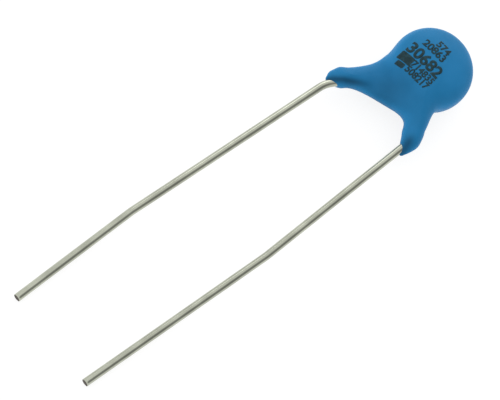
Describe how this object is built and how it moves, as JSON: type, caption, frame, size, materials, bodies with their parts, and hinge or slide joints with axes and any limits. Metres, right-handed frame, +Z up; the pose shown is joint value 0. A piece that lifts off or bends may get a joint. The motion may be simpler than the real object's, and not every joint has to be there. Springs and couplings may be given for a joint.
{
  "type": "ceramic disc capacitor",
  "caption": "Round dipped ceramic capacitor with two long parallel wire leads leaving through splayed coated legs; stores and passes small alternating charges on a board.",
  "frame": {"origin": "on the surface the part lies on, under the middle of its outline seen from above", "axes": "+X along the leads toward the disc, +Y toward the back lead, +Z up out of the printed front face"},
  "size_m": [0.0388, 0.0086, 0.0041],
  "materials": {
    "ceramic": "matte",
    "silver": "satin",
    "solder": "gloss",
    "tinned_wire": "satin",
    "blue_epoxy": "satin"
  },
  "bodies": {
    "root": {"ceramic_disc": "ceramic", "back_electrode": "silver", "front_electrode": "silver", "back_solder_joint": "solder", "front_solder_joint": "solder", "back_lead": "tinned_wire", "front_lead": "tinned_wire", "epoxy_coating": "blue_epoxy"}
  },
  "joints": []
}
